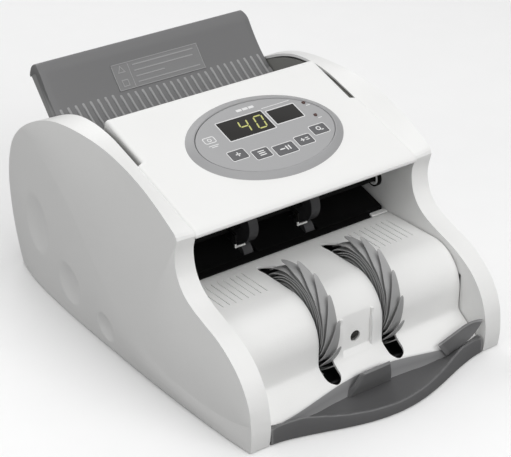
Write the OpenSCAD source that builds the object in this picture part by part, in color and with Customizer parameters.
// Banknote counting machine: a hopper at the back, friction feed rollers, two stacker wheels and a note bay.
// Frame: +Z up, the front faces -Y, the origin is at the centre of the footprint, on the floor.
// Inside from_foot(), y is measured rearward from the front foot of the side covers.

/* [Case] */
// Width between the side covers, set by the widest note and its clearance
throat_w = 193; // [190:0.5:198]
// Width of each side cover's front rim
rim_w = 16; // [14:0.5:17]
// Depth from the side covers' front foot to their rearmost point
case_depth = 324; // [318:1:330]
// How far the apron bulges in front of the side covers
apron_reach = 22; // [16:1:26]
// Wall thickness of the plastic covers
wall = 2.5; // [2:0.1:3]
// Height of the top cover's front lip
lip_z = 125; // [122:0.5:128]
// Slope of the top cover, in degrees
slope = 18; // [17:0.5:19]

/* [Control panel] */
// Half length of the oval panel
panel_a = 66; // [60:0.5:68]
// Half height of the oval panel
panel_b = 44.5; // [42:0.5:46]
// Key travel
key_travel = 0.6; // [0.3:0.1:1]

/* [Stacker] */
// Radius over the vane tips
wheel_r = 41.5; // [38:0.5:42]
// Number of vanes on each wheel
vane_count = 15; // [10:1:16]
// Distance of each wheel from the middle
wheel_x = 28.5; // [26:0.5:32]
// Width of each wheel
wheel_w = 10; // [8:0.5:11]
// Width of each slot in the wheel cover
slot_w = 13; // [12.5:0.5:14]

/* [Feed] */
// Radius of the main feed rollers
feed_r = 22; // [20:0.5:23]
// Radius of the kicker rollers in the hopper floor
kicker_r = 16; // [15:0.5:16.5]
// Radius of the exit rollers under the note path
exit_r = 9; // [8:0.5:9]
// Radius of the idler rollers above the note path
idler_r = 14; // [12:0.5:14]

/* [Hidden] */
$fn = 48;

// Frame of the whole machine
foot_y = -(case_depth - apron_reach) / 2;
throat_x = throat_w / 2;
front_x = throat_x + rim_w;
bulge_x = front_x + 7;
lip_y = 82;
gap = 0.5;
frame_foot_ys = [70, 190, 262];
frame_foot_d = 22;
tie_rod_at = [[118, 22], [206, 60], [290, 90], [140, 122]];
case_screw_ys = [60, 150, 236];
case_screw_x = 88;

// Infrared eye of the note bay: half width and depth of its flat recess, and the eye's height
eye_half = 13;
eye_y = 30;
eye_z = 35.5;

// Shaft centres, as [y from the foot, z]
stacker_c = [57.5, 46.5];
feed_c = [180, 104];
kicker_c = [222, 113];
exit_c = [125.5, 69.6];
idler_c = [124.5, 93];
retard_r = 10;
retard_c = feed_c + (feed_r + retard_r + 0.4) * [cos(75), sin(75)];
retard_bar_y = 10.8;
retard_bar_z = 1.7;
main_motor_c = [256, 52];
stacker_motor_c = [150, 38];
shaft_r = 4;
thin_shaft_r = 3;
bearing_r = 6.5;
run_fit = 0.05;

// Stations across the width, to the right of the middle
frame_x = throat_x + 3;
frame_t = 1.5;
belt_in = frame_x + frame_t + 1.5;
belt_w = 4;
belt_pitch = 5;
belt_t = 1.4;
belt_gap = 0.3;
feed_roller_x = 22;
feed_roller_w = 14;
path_roller_x = 28;
path_roller_w = 8;

// Pulley radii
feed_big_r = 20;
feed_small_r = 14;
kicker_pulley_r = 12;
exit_pulley_r = 9;
stacker_pulley_r = 16;
motor_pulley_r = 8;

rocker_tilt = 7;
rocker_c = [319.2, 46];
rocker_pin_r = 1.2;

// Control panel layout, measured from the centre of the oval
panel_x = 5;
panel_along = 62.5;
panel_rise = 4.5;
window_y = 13;
count_window = [40, 20];
count_window_x = -9;
batch_window = [24.5, 15];
batch_window_x = 26.5;
led_x = 47;
led_ys = [18, 3];
key_size = [13, 9];
start_size = [17, 10];
key_at = [[-32.5, -11], [-15.5, -16.5], [3.5, -19], [22.5, -16.5], [40, -11]];

function bezier(p0, p1, p2, p3, n = 14) = [
  for (i = [0:n])
    let (t = i / n, s = 1 - t) s * s * s * p0 + 3 * s * s * t * p1 + 3 * s * t * t * p2 + t * t * t * p3
];
function arc(c, r, a0, a1, n = 16) = [
  for (i = [0:n])
    let (a = a0 + (a1 - a0) * i / n)
      c + r * [cos(a), sin(a)]
];
function ellipse_points(a, b, n = 72) = [for (i = [0:n - 1]) [a * cos(360 * i / n), b * sin(360 * i / n)]];
function bump(x) = (1 + cos(180 * x / throat_x)) / 2;
function apron_y(x) = -apron_reach * pow(bump(x), 0.8);
function floor_edge_y(x) = 6 + 9 * bump(x);

// Outline of a side cover seen from the side, as [y, z]
side_profile = concat(
  [[0.5, 1]],
  bezier([-1, 16], [1, 46], [14, 61], [37, 70.5]),
  bezier([37, 70.5], [58, 78], [86, 82], [85.5, 109], 12),
  [[lip_y, lip_z]],
  bezier([160, 150.4], [185, 158.5], [215, 163.5], [245, 152.5], 10),
  bezier([245, 152.5], [275, 141.5], [300, 125], [316, 95], 8),
  bezier([316, 95], [case_depth + 4, 72], [case_depth + 3, 40], [case_depth - 11, 1], 10)
);

module from_foot() {
  translate([0, foot_y, 0])
    children();
}

// Extrudes a [y, z] outline from x0 to x1
module along_x(x0, x1) {
  translate([x0, 0, 0])
    rotate([90, 0, 90])
      linear_extrude(x1 - x0)
        children();
}

module rod(c, r, x0, x1) {
  translate([x0, c[0], c[1]])
    rotate([0, 90, 0])
      cylinder(r = r, h = x1 - x0);
}

module tube(c, r_out, r_in, x0, x1) {
  difference() {
    rod(c, r_out, x0, x1);
    rod(c, r_in, x0 - 1, x1 + 1);
  }
}

// Places its children on the top cover's sloped face: x across, y up the slope, z out of the face
module on_slope(x, along, rise) {
  from_foot()
    translate([0, lip_y, lip_z])
      rotate([slope, 0, 0])
        translate([x, along, rise])
          children();
}

module on_panel(x, y, rise) {
  on_slope(panel_x + x, panel_along + y, rise)
    children();
}

module plate(w, d, h, r) {
  translate([-w / 2 + r, -d / 2 + r, 0])
    linear_extrude(h)
      offset(r = r)
        square([w - 2 * r, d - 2 * r]);
}

// ---------- case ----------

module plan_prism(inset) {
  side = bezier([front_x, -5], [bulge_x + 0.5, 90], [bulge_x + 3.5, 220], [front_x - 9, 330], 16);
  linear_extrude(height = 200)
    polygon(concat([for (p = side) [p[0] - inset, p[1]]], [[throat_x - 2, 330], [throat_x - 2, -5]]));
}

module roof_prism(inset) {
  translate([0, 340, 0])
    rotate([90, 0, 0])
      linear_extrude(360)
        polygon([
          [throat_x - 2, 0], [bulge_x + 1 - inset, 0], [bulge_x + 1 - inset, 60],
          [front_x - 1 - inset, 165], [throat_x - 2, 165]
        ]);
}

// Where the covers are open toward the mechanism: below the note path and behind the throat
module inner_opening() {
  polygon([[28, 0], [28, 52], [104, 52], [113, 77], [150, 86], [150, 170], [340, 170], [340, 0]]);
}

module side_cover() {
  from_foot()
    difference() {
      intersection() {
        along_x(throat_x, bulge_x + 2)
          polygon(side_profile);
        plan_prism(0);
        roof_prism(0);
      }
      intersection() {
        along_x(throat_x + 2, bulge_x + 2)
          offset(delta = -wall)
            polygon(side_profile);
        plan_prism(wall);
        roof_prism(wall);
      }
      along_x(throat_x - 1, throat_x + 3)
        intersection() {
          inner_opening();
          offset(delta = -wall)
            polygon(side_profile);
        }
      rod(tie_rod_at[3], 4.4, throat_x - 1, throat_x + 3);
    }
}

module right_side_cover() {
  color("white")
    side_cover();
}

module left_side_cover() {
  color("white")
    mirror([1, 0, 0])
      side_cover();
}

module base_tray() {
  tray_x = throat_x - gap;
  color([0.2, 0.2, 0.21])
    from_foot()
      difference() {
        translate([-tray_x, 20, 3])
          cube([2 * tray_x, case_depth - 34, 9]);
        translate([-tray_x + 2, 22, 5])
          cube([2 * tray_x - 4, case_depth - 38, 10]);
        for (x = [-70, 70], y = [32, 270])
          translate([x, y, 0])
            cylinder(r = 2.5, h = 12);
        for (x = [-wheel_x, wheel_x])
          translate([x - slot_w / 2, stacker_c[0] - 24, 3.9])
            cube([slot_w, 48, 10]);
        for (side = [-1, 1], y = frame_foot_ys)
          translate([side * (tray_x - 1) - 2, y - 0.5, 5])
            cube([4, frame_foot_d + 1, 10]);
        for (x = [-case_screw_x, case_screw_x], y = case_screw_ys)
          translate([x, y, 0])
            cylinder(r = 1.6, h = 10);
      }
}

// Bulging apron with a leaning tongue in the middle, a wing at each end, an end stop on the right
// and two fixing lugs
module front_apron() {
  steps = 24;
  apron_x = throat_x - 0.4;
  xs = [for (i = [0:steps]) apron_x * (2 * i / steps - 1)];
  back = [for (x = xs) [x, min(floor_edge_y(x) - 1.2, 12.5)]];
  front = [for (i = [steps:-1:0]) [xs[i], apron_y(xs[i])]];
  hollow_xs = [for (i = [0:16]) 76 * (i / 8 - 1)];
  hollow_back = [for (x = hollow_xs) [x, min(floor_edge_y(x) - 1.2, 12.5) - wall]];
  hollow_front = [for (i = [16:-1:0]) [hollow_xs[i], apron_y(hollow_xs[i]) + wall]];
  tab_lean = 22;
  crease_half = [[20, 9.2], [50, 11.6], [60, 13.4], [72, 15.2], [84, 14.2], [96, 12.4]];
  end_stop = [[66.4, 5.6], [57.6, 17.2], [72, 21.6], [82, 25], [89, 27], [95.4, 27.4], [92, 21.6], [85, 10]];
  crease = concat(
    [[-96, 0]],
    [for (i = [5:-1:0]) [-crease_half[i][0], crease_half[i][1]]],
    crease_half,
    [[96, 0]]);
  color([0.3, 0.3, 0.31])
    from_foot() {
      difference() {
        translate([0, 0, 0.4])
          linear_extrude(7.6)
            polygon(concat(back, front));
        translate([0, 0, -1])
          linear_extrude(6.5)
            polygon(concat(hollow_back, hollow_front));
      }
      translate([0, 12.2, 2.6])
        rotate([90 + tab_lean, 0, 0])
          linear_extrude(2.4)
            polygon([[-18.5, 0], [18.5, 0], [11.5, 20.4], [-11.5, 20.4]]);
      intersection() {
        translate([0, 0, 0.4])
          linear_extrude(16)
            polygon(concat([for (p = front) [p[0], p[1] + 2.4]], [for (i = [steps:-1:0]) front[i]]));
        translate([0, 10, 0])
          rotate([90, 0, 0])
            linear_extrude(40)
              polygon(crease);
      }
      translate([0, 5.4, 0])
        rotate([90, 0, 0])
          linear_extrude(2)
            polygon(end_stop);
      for (side = [-1, 1]) {
        translate([0, 3.4, 2])
          rotate([90, 0, 0])
            linear_extrude(3)
              polygon([[side * 66, 3], [side * 95.6, 11.6], [side * 95.6, 0], [side * 66, 0]]);
        translate([side * 50 - 6, 5, 0.8])
          cube([12, 21, 1.5]);
        translate([side * 50 - 6, 21, 2.2])
          cube([12, 5, 0.8]);
      }
    }
}

module rubber_feet() {
  color([0.1, 0.1, 0.1])
    from_foot()
      for (x = [-70, 70], y = [32, 270])
        translate([x, y, 0]) {
          cylinder(r = 7, h = 3);
          cylinder(r = 2.4, h = 7);
        }
}

module cover_plan(shrink) {
  half = throat_x - gap - shrink;
  step_along = 71;
  polygon([
    [-half, -4], [half, -4], [half, step_along], [half - 4.5, step_along + 3], [half - 4.5, 200],
    [-half + 4.5, 200], [-half + 4.5, step_along + 3], [-half, step_along]
  ]);
}

module top_cover() {
  along_end = 122;
  outer = concat(
    [[0.5, -4.5]], arc([4, -4], 4, 180, 90, 6), [[along_end, 0], [along_end, -9], [4, -9]]
  );
  inner = [[3.5, -12], [3.5, -6.5], [5, -wall], [along_end - wall, -wall], [along_end - wall, -12]];
  color("white")
    on_slope(0, 0, 0)
      difference() {
        intersection() {
          along_x(-throat_x, throat_x)
            polygon(outer);
          translate([0, 0, -20])
            linear_extrude(30)
              cover_plan(0);
        }
        intersection() {
          along_x(-throat_x, throat_x)
            polygon(inner);
          translate([0, 0, -20])
            linear_extrude(30)
              cover_plan(wall);
        }
        translate([panel_x, panel_along, -5])
          linear_extrude(10)
            polygon(ellipse_points(panel_a - 4, panel_b - 4));
      }
}

module panel_bezel() {
  color([0.6, 0.6, 0.61])
    on_panel(0, 0, 0)
      difference() {
        union() {
          linear_extrude(panel_rise - 1.5)
            polygon(ellipse_points(panel_a, panel_b));
          translate([0, 0, -wall - 1])
            linear_extrude(panel_rise + wall + 1)
              polygon(ellipse_points(panel_a - 4.3, panel_b - 4.3));
        }
        translate([0, 0, panel_rise - 1.5])
          linear_extrude(5)
            polygon(ellipse_points(panel_a - 6, panel_b - 6));
        translate([0, 0, -10])
          linear_extrude(20)
            polygon(ellipse_points(panel_a - 8, panel_b - 8));
      }
}

module panel_overlay() {
  color([0.66, 0.66, 0.67])
    on_panel(0, 0, panel_rise - 1.5)
      difference() {
        linear_extrude(1.5)
          polygon(ellipse_points(panel_a - 6.1, panel_b - 6.1));
        translate([count_window_x, window_y, -1])
          plate(count_window[0], count_window[1], 4, 0.5);
        translate([batch_window_x, window_y, -1])
          plate(batch_window[0], batch_window[1], 4, 0.5);
        for (y = led_ys)
          translate([led_x, y, -1])
            cylinder(r = 1.7, h = 4);
        for (i = [0:4])
          translate([key_at[i][0], key_at[i][1], -1])
            plate(key_width(i) + 0.8, key_depth(i) + 0.8, 4, 1.2);
      }
}

module display_windows() {
  color([0.12, 0.12, 0.12])
    on_panel(0, 0, panel_rise - 1.4) {
      translate([count_window_x, window_y, 0])
        plate(count_window[0] - 0.2, count_window[1] - 0.2, 1.4, 0.4);
      translate([batch_window_x, window_y, 0])
        plate(batch_window[0] - 0.2, batch_window[1] - 0.2, 1.4, 0.4);
    }
}

module display_modules() {
  color([0.15, 0.15, 0.15])
    on_panel(0, 0, panel_rise - 10.2) {
      translate([count_window_x, window_y, 0])
        plate(count_window[0] - 1, count_window[1] - 1, 8, 0.5);
      translate([batch_window_x, window_y, 0])
        plate(batch_window[0] - 1, batch_window[1] - 1, 8, 0.5);
    }
}

module indicator_leds() {
  color([0.35, 0.12, 0.1])
    for (y = led_ys)
      on_panel(led_x, y, 0) {
        translate([0, 0, panel_rise - 10.2])
          cylinder(r = 1.5, h = 9.4);
        translate([0, 0, panel_rise - 0.8])
          sphere(r = 1.5);
      }
}

function key_width(i) = i == 2 ? start_size[0] : key_size[0];
function key_depth(i) = i == 2 ? start_size[1] : key_size[1];

module key(i) {
  on_panel(key_at[i][0], key_at[i][1], panel_rise - 4)
    plate(key_width(i), key_depth(i), 4.8, 1);
}

module key_plus() {
  color([0.4, 0.4, 0.41])
    key(0);
}

module key_batch() {
  color([0.4, 0.4, 0.41])
    key(1);
}

module key_start() {
  color([0.4, 0.4, 0.41])
    key(2);
}

module key_add() {
  color([0.4, 0.4, 0.41])
    key(3);
}

module key_detect() {
  color([0.4, 0.4, 0.41])
    key(4);
}

// Circuit board under the panel, with one push switch under each key
module control_board() {
  board_top = panel_rise - 10.4;
  color([0.1, 0.3, 0.16])
    on_panel(0, 0, board_top - 1.6) {
      plate(112, 62, 1.6, 3);
      for (at = key_at)
        translate([at[0], at[1], 1.6])
          plate(6, 6, 10.4 - 4 - key_travel - 0.3, 0.4);
      for (x = [-48, 48])
        translate([x, -27, -8])
          plate(12, 5, 8, 0.5);
    }
}

// ---------- note bay ----------

// Outline of the wheel cover's outside, as [y, z], with the note bay's floor in front
function bay_outline(t) = concat(
  [[-5, 2.5], [-5, 3.6 - t], [25.6 + t * 0.5, 23.2 - t], [27 + t, 28]],
  arc([57, 41], 30 - t, 180, 92, 14),
  [[114 - t, 70.6 - t]]
);

module bay_plan(inset) {
  steps = 24;
  half = throat_x - gap;
  xs = [for (i = [0:steps]) half * (2 * i / steps - 1)];
  polygon(concat([for (x = xs) [x, floor_edge_y(x) + inset]], [[half, 120], [-half, 120]]));
}

module slot_plan() {
  for (x = [-wheel_x, wheel_x])
    translate([x, 0]) {
      translate([0, 13.4 + slot_w / 2])
        circle(r = slot_w / 2);
      translate([-slot_w / 2, 13.4 + slot_w / 2])
        square([slot_w, 72]);
      polygon([[-slot_w / 2, 91], [slot_w / 2, 91], [slot_w / 2 - 3, 96], [-slot_w / 2, 98]]);
    }
}

module wheel_cover() {
  color("white")
    from_foot() {
      for (x = [-60, 56])
        translate([x, 72, 5])
          cube([4, 8, 64.4]);
      difference() {
        union() {
          difference() {
            intersection() {
              along_x(-throat_x + gap, throat_x - gap)
                polygon(concat(bay_outline(0), [[114, 2.5]]));
              linear_extrude(100)
                bay_plan(0);
            }
            intersection() {
              along_x(-throat_x, throat_x)
                polygon(concat([[-5, 0]], bay_outline(2), [[112, 60], [120, 60], [120, 0]]));
              translate([0, 0, -1])
                linear_extrude(100)
                  bay_plan(2);
            }
          }
          translate([-eye_half - 2, 28, 22.5])
            cube([2 * eye_half + 4, eye_y - 26, 31.5]);
        }
        linear_extrude(100)
          slot_plan();
        translate([0, 20, eye_z])
          rotate([-90, 0, 0])
            cylinder(r = 4.2, h = 14);
        along_x(-eye_half, eye_half)
          polygon([[20, 28], [27, 24.3], [eye_y, 26.7], [eye_y, 60], [20, 60]]);
      }
    }
}

// Infrared eye that sees whether notes lie in the bay
module sensor_lens() {
  color([0.2, 0.2, 0.22])
    from_foot()
      translate([0, eye_y + 0.4, eye_z])
        rotate([-90, 0, 0]) {
          cylinder(r = 4, h = 2);
          translate([0, 0, 1.9])
            cylinder(r = 5, h = 4);
        }
}

// ---------- hopper ----------

module hopper_plate() {
  face = bezier([198, 126], [246, 127.5], [262, 137], [283.5, 169]);
  back = bezier([291, 168], [268, 134], [252, 124], [198, 123]);
  half = throat_x - 0.8;
  rib_count = 29;
  rib_pitch = 2 * (half - 5) / (rib_count - 1);
  color([0.42, 0.42, 0.43])
    from_foot()
      difference() {
        union() {
          along_x(-half, half)
            polygon(concat(face, [[288, 176], [294.5, 174.5]], back));
          for (i = [0:rib_count - 1])
            translate([-half + 5 + i * rib_pitch, 0, 0])
              along_x(-0.5, 0.5)
                polygon([[246, 129], [247, 132.6], [257, 138], [266.5, 149], [266.5, 145], [257, 135]]);
        }
        for (x = [-feed_roller_x, feed_roller_x])
          translate([x - 9, 202, 100])
            cube([18, 41, 60]);
      }
}

module hopper_cheek() {
  from_foot()
    difference() {
      along_x(throat_x + 0.1, throat_x + 1.7)
        intersection() {
          offset(delta = -wall - 0.3)
            polygon(side_profile);
          polygon([[150.3, 100], [150.3, 170], [300, 170], [300, 112], [270, 100]]);
        }
      for (c = [feed_c, kicker_c])
        rod(c, bearing_r + 1, 0, 120);
      translate([0, retard_c[0] + retard_bar_y - 0.3, retard_c[1] + retard_bar_z - 0.3])
        cube([120, 3.8, 8.6]);
    }
}

module right_hopper_cheek() {
  color([0.5, 0.5, 0.49])
    hopper_cheek();
}

module left_hopper_cheek() {
  color([0.5, 0.5, 0.49])
    mirror([1, 0, 0])
      hopper_cheek();
}

// Back of the case, between the side covers
module rear_cover() {
  port_z = 46;
  color("white")
    from_foot()
      difference() {
        along_x(-throat_x + gap, throat_x - gap)
          difference() {
            intersection() {
              polygon(side_profile);
              polygon([
                [296, 12.5], [case_depth + 9, 12.5], [case_depth + 9, 170], [280, 170], [280, 120], [296, 100]
              ]);
            }
            offset(delta = -wall)
              polygon(side_profile);
          }
        translate([-60, 300, port_z])
          cube([30.4, 60, 23.4], center = true);
        translate([-25, 300, port_z])
          cube([22.4, 60, 15.4], center = true);
        for (x = [10:8:66])
          translate([x, 300, port_z - 14])
            cube([3, 40, 28]);
      }
}

module power_inlet() {
  color([0.12, 0.12, 0.12])
    from_foot()
      difference() {
        union() {
          translate([-75, 320.4, 34.5])
            cube([30, 2.6, 23]);
          translate([-73, 302, 36.5])
            cube([26, 18.5, 19]);
        }
        translate([-71.5, 306, 38.5])
          cube([23, 30, 15]);
      }
  color([0.75, 0.75, 0.72])
    from_foot()
      for (at = [[-66, 44], [-60, 48.5], [-54, 44]])
        translate([at[0] - 1, 304, at[1] - 0.6])
          cube([2, 15, 4]);
}

module switch_housing() {
  color([0.12, 0.12, 0.12])
    from_foot()
      difference() {
        union() {
          translate([-36, 320.4, 38.5])
            cube([22, 2.6, 15]);
          translate([-34, 306, 40])
            cube([18, 14.5, 12]);
        }
        translate([-33, 308.5, 41])
          cube([16, 30, 10]);
        rod(rocker_c, rocker_pin_r + run_fit, -40, -10);
      }
}

// Rocker that tips about a pin across its middle, drawn with its lower end out
module power_rocker() {
  color([0.15, 0.15, 0.15])
    from_foot() {
      translate([-25 - 7.6, rocker_c[0], rocker_c[1]])
        rotate([90, 0, 90])
          linear_extrude(15.2)
            rotate(rocker_tilt)
              polygon([[-3, -2.4], [3.4, -4.2], [4.6, -3.6], [3.8, 0], [4.6, 3.6], [3.4, 4.2], [-3, 2.4]]);
      rod(rocker_c, rocker_pin_r, -33.8, -16.2);
    }
}

module case_screws() {
  color([0.6, 0.6, 0.6])
    from_foot()
      for (x = [-case_screw_x, case_screw_x], y = case_screw_ys)
        translate([x, y, 1.6]) {
          cylinder(r = 3, h = 1.4);
          cylinder(r = 1.5, h = 8);
        }
}

// ---------- chassis ----------

module frame_plate() {
  from_foot()
    difference() {
      union() {
        along_x(frame_x, frame_x + frame_t)
          polygon([
            [34, 6], [34, 50], [60, 64], [92, 76], [95, 112], [104, 123], [160, 142], [205, 149],
            [240, 145], [284, 121], [300, 98], [300, 6]
          ]);
        for (y = frame_foot_ys)
          translate([frame_x - 18, y, 5])
            cube([18.5, frame_foot_d, 1.5]);
      }
      for (c = [stacker_c, feed_c, kicker_c, exit_c])
        rod(c, bearing_r, 0, 120);
      for (c = tie_rod_at)
        rod(c, 2, 0, 120);
      rod(main_motor_c, 6, 0, 120);
      rod(stacker_motor_c, 6, 0, 120);
      rod([205, 92], 9, 0, 120);
    }
}

module right_frame_plate() {
  color("silver")
    frame_plate();
}

module left_frame_plate() {
  color("silver")
    mirror([1, 0, 0])
      frame_plate();
}

module tie_rods() {
  color([0.7, 0.7, 0.72])
    from_foot()
      for (c = tie_rod_at) {
        rod(c, 4, -frame_x, frame_x);
        rod(c, 2, -frame_x - 4, frame_x + 4);
      }
}

// Bushes pressed into the frame plates, one at each end of every turning shaft
module shaft_bearings() {
  color([0.72, 0.6, 0.32])
    from_foot()
      for (side = [0, 1])
        mirror([side, 0, 0])
          for (b = [[stacker_c, shaft_r], [feed_c, shaft_r], [kicker_c, thin_shaft_r], [exit_c, thin_shaft_r]])
            tube(b[0], bearing_r, b[1] + run_fit, frame_x - 1, frame_x + 2.2);
}

// ---------- stacker ----------

module stacker_shaft() {
  color("silver")
    from_foot()
      rod(stacker_c, shaft_r, -belt_in - belt_w - 0.5, frame_x + 3);
}

// One springy vane: it leaves the hub almost along the rim and trails behind the turning wheel
function vane_edge(r0, r1, sweep, n) = [
  for (i = [0:n]) let (t = i / n, r = r0 + (r1 - r0) * pow(t, 0.85), a = -sweep * t) r * [cos(a), sin(a)]
];

module vane() {
  sweep = 105;
  steps = 14;
  root_r = 10;
  rim = vane_edge(root_r, wheel_r, sweep, steps);
  mid = vane_edge(root_r, wheel_r - 0.8, sweep, steps);
  inner = [for (i = [steps:-1:0]) mid[i] * (1 - (2.3 - 1.5 * i / steps) / norm(mid[i]))];
  linear_extrude(wheel_w)
    polygon(concat(rim, inner));
}

module stacker_wheel(x) {
  from_foot()
    translate([x - wheel_w / 2, stacker_c[0], stacker_c[1]])
      rotate([90, 0, 90])
        difference() {
          union() {
            cylinder(r = 12, h = wheel_w);
            for (k = [0:vane_count - 1])
              rotate(2 + 360 * k / vane_count)
                vane();
          }
          translate([0, 0, -1])
            cylinder(r = shaft_r, h = wheel_w + 2);
        }
}

module left_stacker_wheel() {
  color([0.45, 0.45, 0.45])
    stacker_wheel(-wheel_x);
}

module right_stacker_wheel() {
  color([0.45, 0.45, 0.45])
    stacker_wheel(wheel_x);
}

module pulley(c, r, x0, bore) {
  difference() {
    union() {
      rod(c, r, x0, x0 + belt_w);
      rod(c, r + belt_t + 0.6, x0 - 0.7, x0);
    }
    rod(c, bore, x0 - 2, x0 + belt_w + 2);
  }
}

module stacker_pulley() {
  color([0.15, 0.15, 0.16])
    from_foot()
      mirror([1, 0, 0])
        pulley(stacker_c, stacker_pulley_r, belt_in, shaft_r);
}

module motor(c, r, x0, x1) {
  rod(c, r, x0, x1);
  rod(c, r * 0.45, x1, x1 + 3);
  rod(c, r * 0.4, x0 - 4, x0);
}

module stacker_motor() {
  color([0.6, 0.6, 0.62])
    from_foot()
      mirror([1, 0, 0])
        difference() {
          union() {
            motor(stacker_motor_c, 14, 42, 92);
            translate([92, stacker_motor_c[0] - 16, stacker_motor_c[1] - 16])
              cube([frame_x - 92, 32, 32]);
          }
          rod(stacker_motor_c, 2 + run_fit, 80, 120);
        }
}

module stacker_motor_rotor() {
  color([0.15, 0.15, 0.16])
    from_foot()
      mirror([1, 0, 0]) {
        pulley(stacker_motor_c, motor_pulley_r, belt_in, 2);
        rod(stacker_motor_c, 2, 81, belt_in + belt_w);
      }
}

// ---------- feed ----------

module roller_pair(c, r, bore, x, w) {
  for (side = [-1, 1])
    tube(c, r, bore, side * x - w / 2, side * x + w / 2);
}

module feed_shaft() {
  color("silver")
    from_foot()
      rod(feed_c, shaft_r, -belt_in - belt_w - 0.5, belt_in + belt_pitch + belt_w + 0.5);
}

module feed_rollers() {
  color([0.25, 0.25, 0.26])
    from_foot()
      roller_pair(feed_c, feed_r, shaft_r, feed_roller_x, feed_roller_w);
}

module feed_pulleys() {
  color([0.15, 0.15, 0.16])
    from_foot() {
      pulley(feed_c, feed_big_r, belt_in, shaft_r);
      pulley(feed_c, feed_small_r, belt_in + belt_pitch, shaft_r);
      mirror([1, 0, 0])
        pulley(feed_c, feed_small_r, belt_in, shaft_r);
    }
}

module kicker_shaft() {
  color("silver")
    from_foot()
      rod(kicker_c, thin_shaft_r, -frame_x - 3, belt_in + belt_pitch + belt_w + 0.5);
}

// Half of each kicker's rim stands proud, so it nudges one note a turn
module kicker_rollers() {
  color([0.25, 0.25, 0.26])
    from_foot()
      for (side = [-1, 1])
        difference() {
          union() {
            rod(kicker_c, kicker_r - 1, side * feed_roller_x - 6, side * feed_roller_x + 6);
            intersection() {
              rod(kicker_c, kicker_r, side * feed_roller_x - 6, side * feed_roller_x + 6);
              translate([side * feed_roller_x - 6, kicker_c[0] - 20, kicker_c[1]])
                cube([12, 40, 20]);
            }
          }
          rod(kicker_c, thin_shaft_r, -50, 50);
        }
}

module kicker_pulley() {
  color([0.15, 0.15, 0.16])
    from_foot()
      pulley(kicker_c, kicker_pulley_r, belt_in + belt_pitch, thin_shaft_r);
}

module exit_shaft() {
  color("silver")
    from_foot()
      rod(exit_c, thin_shaft_r, -belt_in - belt_w - 0.5, frame_x + 8);
}

module exit_rollers() {
  color([0.25, 0.25, 0.26])
    from_foot()
      roller_pair(exit_c, exit_r, thin_shaft_r, path_roller_x, path_roller_w);
}

module exit_pulley() {
  color([0.15, 0.15, 0.16])
    from_foot()
      mirror([1, 0, 0])
        pulley(exit_c, exit_pulley_r, belt_in, thin_shaft_r);
}

// Slotted disc whose slots are counted as the exit shaft turns
module encoder_disc() {
  color([0.1, 0.1, 0.1])
    from_foot()
      difference() {
        rod(exit_c, 11, frame_x + 5, frame_x + 6.2);
        rod(exit_c, thin_shaft_r, frame_x, frame_x + 12);
        for (a = [0:30:330])
          translate([0, exit_c[0], exit_c[1]])
            rotate([a, 0, 0])
              translate([frame_x, 6.5, -0.6])
                cube([12, 3, 1.2]);
      }
}

// Light gate that straddles the encoder disc
module encoder_sensor() {
  color([0.12, 0.12, 0.12])
    from_foot()
      difference() {
        translate([frame_x + frame_t, exit_c[0] + 7, exit_c[1] - 4])
          cube([7, 10, 8]);
        translate([frame_x + 4, exit_c[0] + 4, exit_c[1] - 5])
          cube([3.2, 8.5, 10]);
      }
}

module idler_shaft() {
  color([0.72, 0.72, 0.71])
    from_foot()
      for (side = [0, 1])
        mirror([side, 0, 0]) {
          rod(idler_c, thin_shaft_r, -0.01, throat_x - 0.1);
          difference() {
            rod(idler_c, 7, throat_x - 3, throat_x - 0.1);
            rod(idler_c, 4.6, throat_x - 4, throat_x - 1.6);
          }
        }
}

module idler_rollers() {
  color([0.3, 0.3, 0.31])
    from_foot()
      roller_pair(idler_c, idler_r, thin_shaft_r + run_fit, path_roller_x, path_roller_w);
}

// Holder of the retard rollers: a bar between the frame plates with two arms that carry the axle
module retard_bracket() {
  color([0.3, 0.3, 0.3])
    from_foot() {
      rod(retard_c, 3, -42, 42);
      for (x = [-42, 36])
        translate([x, retard_c[0] - 5, retard_c[1] - 4])
          cube([6, 19, 8]);
      translate([-frame_x, retard_c[0] + retard_bar_y, retard_c[1] + retard_bar_z])
        cube([2 * frame_x, 3.2, 8]);
    }
}

module retard_rollers() {
  color([0.35, 0.33, 0.3])
    from_foot()
      roller_pair(retard_c, retard_r, 3, feed_roller_x, 12);
}

module main_motor() {
  color([0.6, 0.6, 0.62])
    from_foot()
      difference() {
        union() {
          motor(main_motor_c, 20, 26, 90);
          translate([90, main_motor_c[0] - 22, main_motor_c[1] - 22])
            cube([frame_x - 90, 44, 44]);
        }
        rod(main_motor_c, 2.5 + run_fit, 76, 120);
      }
}

module main_motor_rotor() {
  color([0.15, 0.15, 0.16])
    from_foot() {
      pulley(main_motor_c, motor_pulley_r, belt_in, 2.5);
      rod(main_motor_c, 2.5, 77, belt_in + belt_w);
    }
}

// Outline of a belt's loop around two pulleys, grown by d
function loop_points(c0, r0, c1, r1, d, n = 18) = let (
  v = c1 - c0,
  dist = norm(v),
  base = atan2(v[1], v[0]),
  lean = acos((r0 - r1) / dist)
) concat(arc(c1, r1 + d, base - lean, base + lean, n), arc(c0, r0 + d, base + lean, base + 360 - lean, n));

module belt(c0, r0, c1, r1, x0) {
  along_x(x0 + 0.3, x0 + belt_w - 0.3)
    difference() {
      polygon(loop_points(c0, r0, c1, r1, belt_gap + belt_t));
      polygon(loop_points(c0, r0, c1, r1, belt_gap));
    }
}

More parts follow.
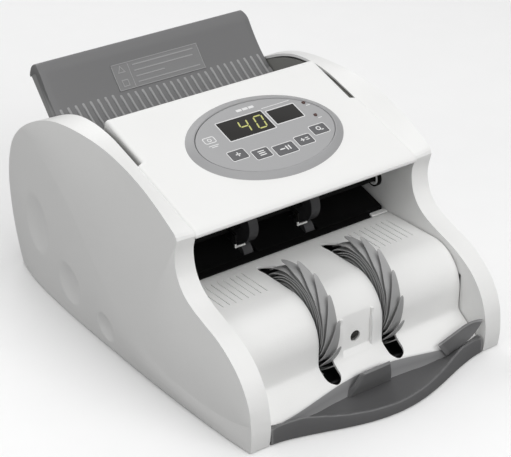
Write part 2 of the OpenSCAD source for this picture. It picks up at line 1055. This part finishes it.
module drive_belts() {
  color([0.08, 0.08, 0.08])
    from_foot() {
      belt(main_motor_c, motor_pulley_r, feed_c, feed_big_r, belt_in);
      belt(feed_c, feed_small_r, kicker_c, kicker_pulley_r, belt_in + belt_pitch);
      mirror([1, 0, 0]) {
        belt(feed_c, feed_small_r, exit_c, exit_pulley_r, belt_in);
        belt(stacker_motor_c, motor_pulley_r, stacker_c, stacker_pulley_r, belt_in);
      }
    }
}

// ---------- note path ----------

module path_windows() {
  for (x = [-path_roller_x, path_roller_x])
    translate([x - 6, exit_c[0] - 12, 60])
      cube([12, 24, 30]);
}

module lower_note_guide() {
  half = throat_x - 1.5;
  color([0.06, 0.06, 0.06])
    from_foot()
      difference() {
        along_x(-half, half)
          polygon([
            [114.6, 68], [114.6, 72.6], [142, 81], [152, 92], [158.5, 108], [160.5, 108], [154.5, 91],
            [143.5, 79], [117, 70.4], [117, 68]
          ]);
        path_windows();
        for (x = [-feed_roller_x, feed_roller_x])
          translate([x - 9, 148, 84])
            cube([18, 30, 40]);
      }
}

// Black shroud behind the front lip, above the note path
module upper_note_guide() {
  half = throat_x - 1.5;
  color([0.06, 0.06, 0.06])
    from_foot()
      difference() {
        along_x(-half, half)
          polygon([
            [146, 104], [143, 98], [144.5, 97.2], [148, 103.5], [150.5, 126], [149, 134], [147.4, 134], [148.4, 126]
          ]);
        for (x = [-feed_roller_x, feed_roller_x])
          translate([x - 9, 130, 84])
            cube([18, 30, 44]);
      }
}

// Light metal fingers beside the idler rollers, which lift the note off them
module guide_clips() {
  color([0.85, 0.85, 0.82])
    from_foot()
      for (side = [-1, 1])
        translate([side * path_roller_x - 17, 0, 0]) {
          along_x(0, 2)
            polygon([[101, 86], [103, 85], [106, 92.4], [144.8, 101.6], [145.6, 103.2], [104.6, 93.8]]);
          along_x(0, 7)
            polygon([[100.6, 86], [101.6, 85], [104, 85.6], [103.6, 87]]);
        }
}

module main_board() {
  color([0.1, 0.3, 0.16])
    from_foot()
      translate([-92, 176, 14])
        cube([104, 72, 1.6]);
  color([0.15, 0.15, 0.16])
    from_foot() {
      for (x = [-80, -50, -20])
        translate([x, 186, 15.6])
          cube([18, 22, 6]);
      for (x = [-78, -58, -38])
        translate([x, 228, 15.6])
          cylinder(r = 6, h = 18);
      for (x = [-88, 8], y = [180, 244])
        translate([x, y, 5])
          cylinder(r = 2.5, h = 9);
    }
}

module power_supply() {
  color([0.5, 0.42, 0.3])
    from_foot() {
      translate([-62, 256, 5])
        cube([56, 36, 6]);
      translate([-58, 260, 11])
        cube([48, 28, 30]);
      translate([-46, 256, 14])
        cube([24, 36, 24]);
    }
}

base_tray();
front_apron();
rubber_feet();
left_side_cover();
right_side_cover();
top_cover();
panel_bezel();
panel_overlay();
display_windows();
display_modules();
indicator_leds();
key_plus();
key_batch();
key_start();
key_add();
key_detect();
control_board();
wheel_cover();
sensor_lens();
hopper_plate();
left_hopper_cheek();
right_hopper_cheek();
rear_cover();
power_inlet();
switch_housing();
power_rocker();
case_screws();
left_frame_plate();
right_frame_plate();
tie_rods();
shaft_bearings();
stacker_shaft();
left_stacker_wheel();
right_stacker_wheel();
stacker_pulley();
stacker_motor();
stacker_motor_rotor();
feed_shaft();
feed_rollers();
feed_pulleys();
kicker_shaft();
kicker_rollers();
kicker_pulley();
exit_shaft();
exit_rollers();
exit_pulley();
encoder_disc();
encoder_sensor();
idler_shaft();
idler_rollers();
retard_bracket();
retard_rollers();
main_motor();
main_motor_rotor();
drive_belts();
lower_note_guide();
upper_note_guide();
guide_clips();
main_board();
power_supply();
